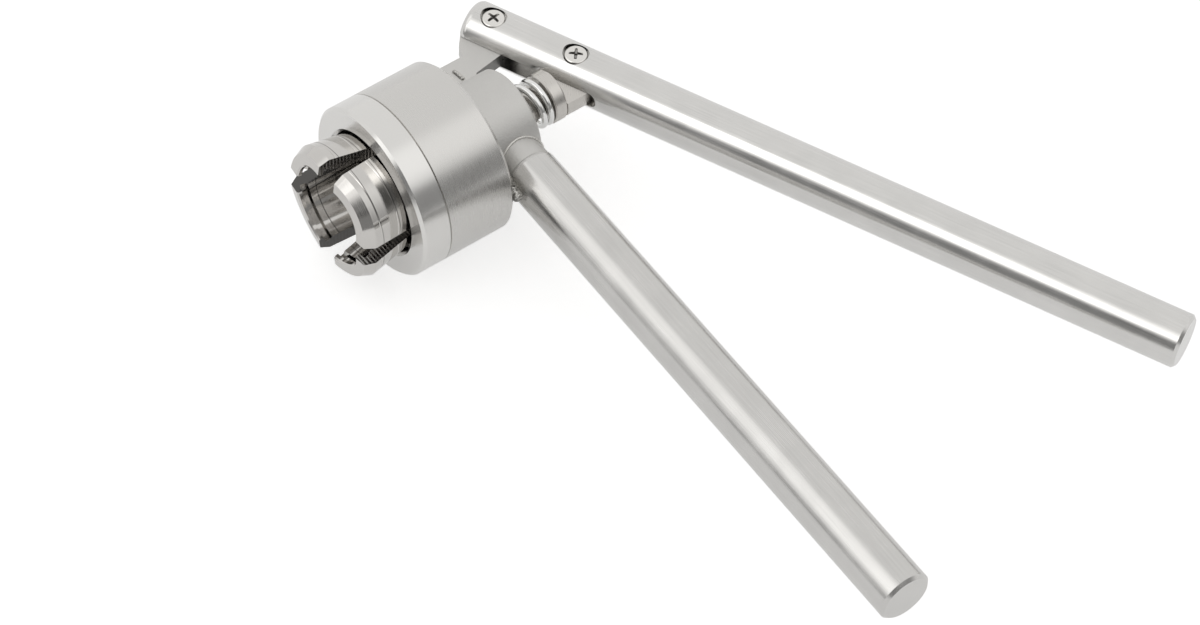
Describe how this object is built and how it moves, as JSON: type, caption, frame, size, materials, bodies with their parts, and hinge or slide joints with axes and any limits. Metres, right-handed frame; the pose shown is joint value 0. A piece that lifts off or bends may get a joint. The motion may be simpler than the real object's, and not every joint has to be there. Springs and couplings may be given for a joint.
{
  "type": "vial crimper",
  "caption": "Hand crimper for vial caps: turned steel head with tilting jaws, a welded fixed handle and a moving handle that drives a sprung push rod.",
  "frame": {"origin": "on the head's axis at the front ring's front face, the mouth that takes the cap", "axes": "-X out of the mouth along the head's axis, +Y away from the handles' free ends, +Z square to the plane of the handles, on the screw heads' side"},
  "size_m": [0.1527, 0.2012, 0.046],
  "materials": {
    "housing_steel": "satin turned",
    "ring_steel": "satin turned",
    "cast_steel": "matt blasted",
    "weld_steel": "ground weld",
    "bar_steel": "brushed lengthwise",
    "jaw_steel": "turned and polished",
    "screw_nickel": "nickel plated",
    "spring_wire": "bright wire",
    "rod_steel": "turned",
    "nut_steel": "plated",
    "sleeve_steel": "ground",
    "bush_brass": "machined",
    "ring_rubber": "matt"
  },
  "bodies": {
    "head": {"head_housing": "housing_steel", "front_ring": "ring_steel", "rear_boss": "cast_steel", "guide_bush": "bush_brass", "spring_seat_washer": "rod_steel", "pivot_bracket": "cast_steel", "bracket_weld": "weld_steel", "handle_stub": "cast_steel", "stub_weld": "weld_steel", "web_weld": "weld_steel", "fixed_handle_bar": "bar_steel", "jaw_return_ring": "ring_rubber", "return_spring": "spring_wire"},
    "moving_handle": {"moving_handle_bar": "bar_steel", "pivot_screw": "screw_nickel", "link_screw": "screw_nickel", "pivot_sleeve": "sleeve_steel", "link_sleeve": "sleeve_steel"},
    "push_rod": {"push_rod": "rod_steel", "spreader_cone": "rod_steel", "cone_nut": "nut_steel", "pressure_pad": "rod_steel", "pad_lock_nut": "nut_steel"},
    "jaw_1": {"jaw_1": "jaw_steel"},
    "jaw_2": {"jaw_2": "jaw_steel"},
    "jaw_3": {"jaw_3": "jaw_steel"},
    "jaw_4": {"jaw_4": "jaw_steel"}
  },
  "joints": [
    {"name": "handle_hinge", "type": "hinge", "parent": "head", "child": "moving_handle", "pos_m": [0.05503, 0.02435, 0], "axis": [0, 0, -1], "range_deg": [0, 20], "stiffness_Nm_per_rad": 1.5, "springref_deg": -17.19},
    {"name": "rod_slide", "type": "slide", "parent": "head", "child": "push_rod", "axis": [-1, 0, 0], "range_m": [0, 0.00798], "deforming": ["return_spring"]},
    {"name": "jaw_1_tilt", "type": "hinge", "parent": "head", "child": "jaw_1", "pos_m": [0.0108, 0.01202, 0.01202], "axis": [0, -0.7071, 0.7071], "range_deg": [0, 10.02]},
    {"name": "jaw_2_tilt", "type": "hinge", "parent": "head", "child": "jaw_2", "pos_m": [0.0108, -0.01202, 0.01202], "axis": [0, -0.7071, -0.7071], "range_deg": [0, 10.02]},
    {"name": "jaw_3_tilt", "type": "hinge", "parent": "head", "child": "jaw_3", "pos_m": [0.0108, -0.01202, -0.01202], "axis": [0, 0.7071, -0.7071], "range_deg": [0, 10.02]},
    {"name": "jaw_4_tilt", "type": "hinge", "parent": "head", "child": "jaw_4", "pos_m": [0.0108, 0.01202, -0.01202], "axis": [0, 0.7071, 0.7071], "range_deg": [0, 10.02]}
  ],
  "couplings": [
    {"joint": "rod_slide", "follows": "handle_hinge", "m_per_rad": 0.022804},
    {"joint": "jaw_1_tilt", "follows": "handle_hinge", "ratio": 0.5},
    {"joint": "jaw_2_tilt", "follows": "handle_hinge", "ratio": 0.5},
    {"joint": "jaw_3_tilt", "follows": "handle_hinge", "ratio": 0.5},
    {"joint": "jaw_4_tilt", "follows": "handle_hinge", "ratio": 0.5}
  ]
}
